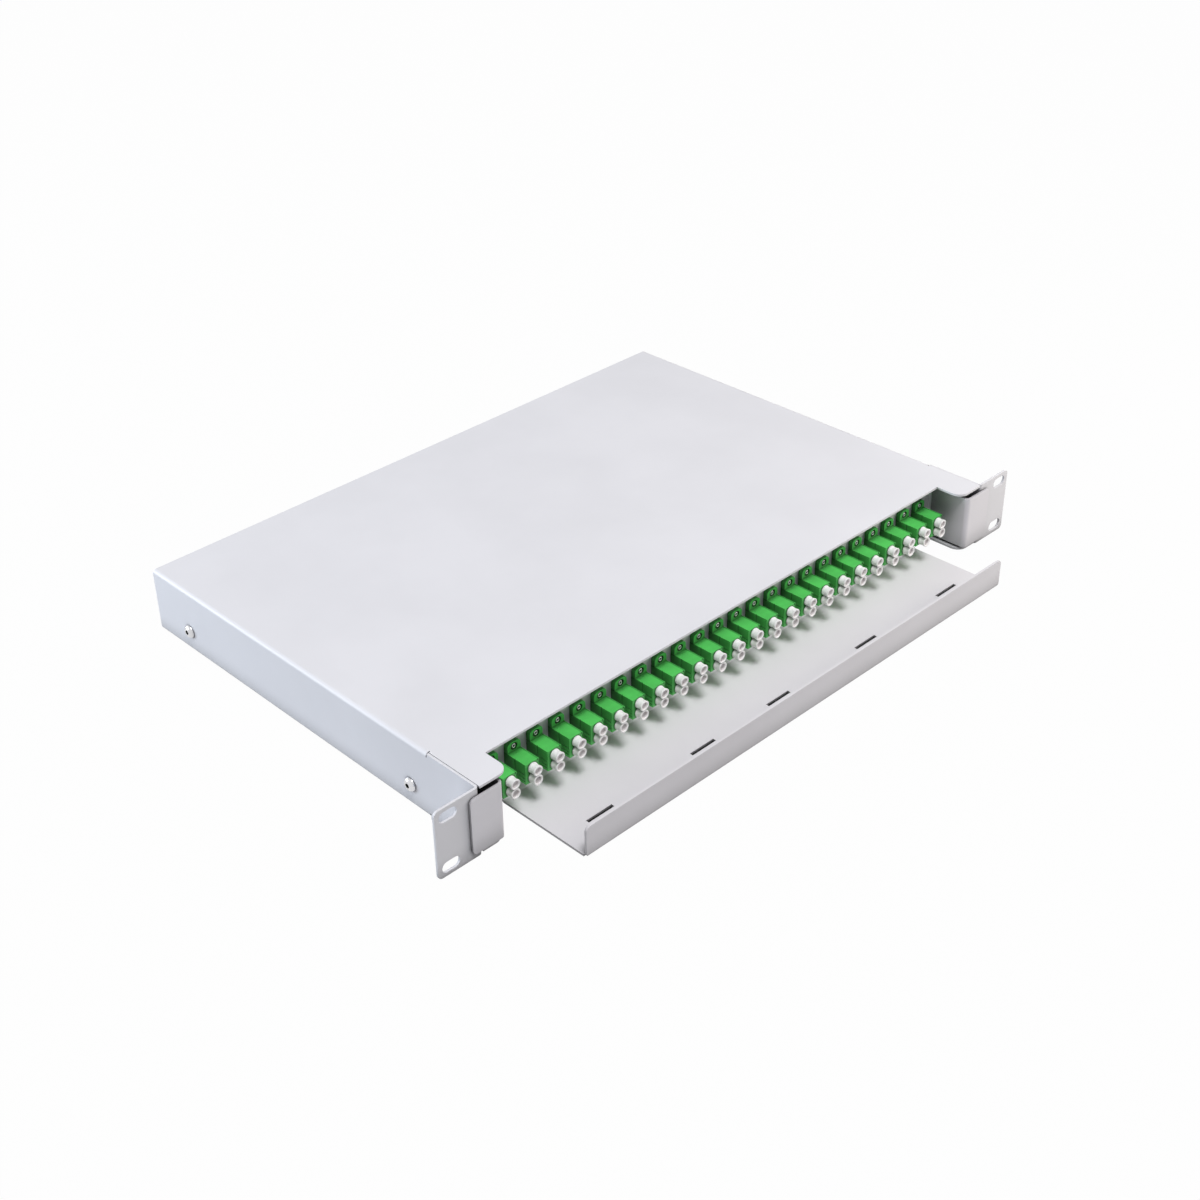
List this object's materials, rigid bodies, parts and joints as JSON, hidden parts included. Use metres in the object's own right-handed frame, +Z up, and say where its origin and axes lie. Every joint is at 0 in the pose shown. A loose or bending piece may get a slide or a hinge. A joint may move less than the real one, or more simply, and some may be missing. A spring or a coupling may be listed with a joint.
{
  "type": "sliding fibre patch panel",
  "caption": "Rack-mounted sliding fibre patch panel: a shallow sheet-metal casing with slotted ears and a drawer that carries capped duplex adapters, a splice cassette and a front cord tray.",
  "frame": {"origin": "centre of the front plane of the rack ears, midway between the four slots", "axes": "+X to the right as seen from the front, -Y out of the front, +Z up"},
  "size_m": [0.4826, 0.3382, 0.0432],
  "materials": {
    "powder_coat": "fine powder coat",
    "zinc_steel": "zinc plated",
    "zinc_screw": "zinc plated",
    "green_plastic": "satin",
    "cap_plastic": "soft, slightly translucent",
    "black_plastic": "satin",
    "white_plastic": "satin",
    "black_rubber": "matt"
  },
  "bodies": {
    "root": {"casing_shell": "powder_coat", "base_plate": "powder_coat", "rear_panel": "powder_coat", "cable_grommets": "black_rubber", "side_screws": "zinc_screw", "slide_outer_left": "zinc_steel", "slide_outer_right": "zinc_steel", "slide_buffers": "black_rubber"},
    "slide_middles": {"slide_middle_left": "zinc_steel", "slide_middle_right": "zinc_steel", "slide_strips": "white_plastic"},
    "drawer": {"slide_inner_left": "zinc_steel", "slide_inner_right": "zinc_steel", "adapter_panel": "powder_coat", "drawer_tray": "powder_coat", "adapters_1": "green_plastic", "adapters_2": "green_plastic", "adapters_3": "green_plastic", "adapters_4": "green_plastic", "adapters_5": "green_plastic", "adapters_6": "green_plastic", "inner_dust_caps": "cap_plastic", "cassette_base": "black_plastic", "splice_holders": "white_plastic", "fibre_guides": "black_plastic", "tie_bars": "powder_coat"},
    "cassette_lid": {"cassette_lid": "black_plastic"},
    "dust_caps_01": {"dust_caps_01": "cap_plastic"},
    "dust_caps_02": {"dust_caps_02": "cap_plastic"},
    "dust_caps_03": {"dust_caps_03": "cap_plastic"},
    "dust_caps_04": {"dust_caps_04": "cap_plastic"},
    "dust_caps_05": {"dust_caps_05": "cap_plastic"},
    "dust_caps_06": {"dust_caps_06": "cap_plastic"},
    "dust_caps_07": {"dust_caps_07": "cap_plastic"},
    "dust_caps_08": {"dust_caps_08": "cap_plastic"},
    "dust_caps_09": {"dust_caps_09": "cap_plastic"},
    "dust_caps_10": {"dust_caps_10": "cap_plastic"},
    "dust_caps_11": {"dust_caps_11": "cap_plastic"},
    "dust_caps_12": {"dust_caps_12": "cap_plastic"},
    "dust_caps_13": {"dust_caps_13": "cap_plastic"},
    "dust_caps_14": {"dust_caps_14": "cap_plastic"},
    "dust_caps_15": {"dust_caps_15": "cap_plastic"},
    "dust_caps_16": {"dust_caps_16": "cap_plastic"},
    "dust_caps_17": {"dust_caps_17": "cap_plastic"},
    "dust_caps_18": {"dust_caps_18": "cap_plastic"},
    "dust_caps_19": {"dust_caps_19": "cap_plastic"},
    "dust_caps_20": {"dust_caps_20": "cap_plastic"},
    "dust_caps_21": {"dust_caps_21": "cap_plastic"},
    "dust_caps_22": {"dust_caps_22": "cap_plastic"},
    "dust_caps_23": {"dust_caps_23": "cap_plastic"},
    "dust_caps_24": {"dust_caps_24": "cap_plastic"}
  },
  "joints": [
    {"name": "drawer_slide", "type": "slide", "parent": "root", "child": "drawer", "axis": [0, -1, 0], "range_m": [0, 0.22]},
    {"name": "middle_slide", "type": "slide", "parent": "root", "child": "slide_middles", "axis": [0, -1, 0], "range_m": [0, 0.11]},
    {"name": "cassette_lid_lift", "type": "slide", "parent": "drawer", "child": "cassette_lid", "axis": [0, 0, 1], "range_m": [0, 0.018]},
    {"name": "dust_caps_01_pull", "type": "slide", "parent": "drawer", "child": "dust_caps_01", "axis": [0, -1, 0], "range_m": [0, 0.022]},
    {"name": "dust_caps_02_pull", "type": "slide", "parent": "drawer", "child": "dust_caps_02", "axis": [0, -1, 0], "range_m": [0, 0.022]},
    {"name": "dust_caps_03_pull", "type": "slide", "parent": "drawer", "child": "dust_caps_03", "axis": [0, -1, 0], "range_m": [0, 0.022]},
    {"name": "dust_caps_04_pull", "type": "slide", "parent": "drawer", "child": "dust_caps_04", "axis": [0, -1, 0], "range_m": [0, 0.022]},
    {"name": "dust_caps_05_pull", "type": "slide", "parent": "drawer", "child": "dust_caps_05", "axis": [0, -1, 0], "range_m": [0, 0.022]},
    {"name": "dust_caps_06_pull", "type": "slide", "parent": "drawer", "child": "dust_caps_06", "axis": [0, -1, 0], "range_m": [0, 0.022]},
    {"name": "dust_caps_07_pull", "type": "slide", "parent": "drawer", "child": "dust_caps_07", "axis": [0, -1, 0], "range_m": [0, 0.022]},
    {"name": "dust_caps_08_pull", "type": "slide", "parent": "drawer", "child": "dust_caps_08", "axis": [0, -1, 0], "range_m": [0, 0.022]},
    {"name": "dust_caps_09_pull", "type": "slide", "parent": "drawer", "child": "dust_caps_09", "axis": [0, -1, 0], "range_m": [0, 0.022]},
    {"name": "dust_caps_10_pull", "type": "slide", "parent": "drawer", "child": "dust_caps_10", "axis": [0, -1, 0], "range_m": [0, 0.022]},
    {"name": "dust_caps_11_pull", "type": "slide", "parent": "drawer", "child": "dust_caps_11", "axis": [0, -1, 0], "range_m": [0, 0.022]},
    {"name": "dust_caps_12_pull", "type": "slide", "parent": "drawer", "child": "dust_caps_12", "axis": [0, -1, 0], "range_m": [0, 0.022]},
    {"name": "dust_caps_13_pull", "type": "slide", "parent": "drawer", "child": "dust_caps_13", "axis": [0, -1, 0], "range_m": [0, 0.022]},
    {"name": "dust_caps_14_pull", "type": "slide", "parent": "drawer", "child": "dust_caps_14", "axis": [0, -1, 0], "range_m": [0, 0.022]},
    {"name": "dust_caps_15_pull", "type": "slide", "parent": "drawer", "child": "dust_caps_15", "axis": [0, -1, 0], "range_m": [0, 0.022]},
    {"name": "dust_caps_16_pull", "type": "slide", "parent": "drawer", "child": "dust_caps_16", "axis": [0, -1, 0], "range_m": [0, 0.022]},
    {"name": "dust_caps_17_pull", "type": "slide", "parent": "drawer", "child": "dust_caps_17", "axis": [0, -1, 0], "range_m": [0, 0.022]},
    {"name": "dust_caps_18_pull", "type": "slide", "parent": "drawer", "child": "dust_caps_18", "axis": [0, -1, 0], "range_m": [0, 0.022]},
    {"name": "dust_caps_19_pull", "type": "slide", "parent": "drawer", "child": "dust_caps_19", "axis": [0, -1, 0], "range_m": [0, 0.022]},
    {"name": "dust_caps_20_pull", "type": "slide", "parent": "drawer", "child": "dust_caps_20", "axis": [0, -1, 0], "range_m": [0, 0.022]},
    {"name": "dust_caps_21_pull", "type": "slide", "parent": "drawer", "child": "dust_caps_21", "axis": [0, -1, 0], "range_m": [0, 0.022]},
    {"name": "dust_caps_22_pull", "type": "slide", "parent": "drawer", "child": "dust_caps_22", "axis": [0, -1, 0], "range_m": [0, 0.022]},
    {"name": "dust_caps_23_pull", "type": "slide", "parent": "drawer", "child": "dust_caps_23", "axis": [0, -1, 0], "range_m": [0, 0.022]},
    {"name": "dust_caps_24_pull", "type": "slide", "parent": "drawer", "child": "dust_caps_24", "axis": [0, -1, 0], "range_m": [0, 0.022]}
  ],
  "couplings": [
    {"joint": "middle_slide", "follows": "drawer_slide", "ratio": 0.5}
  ]
}
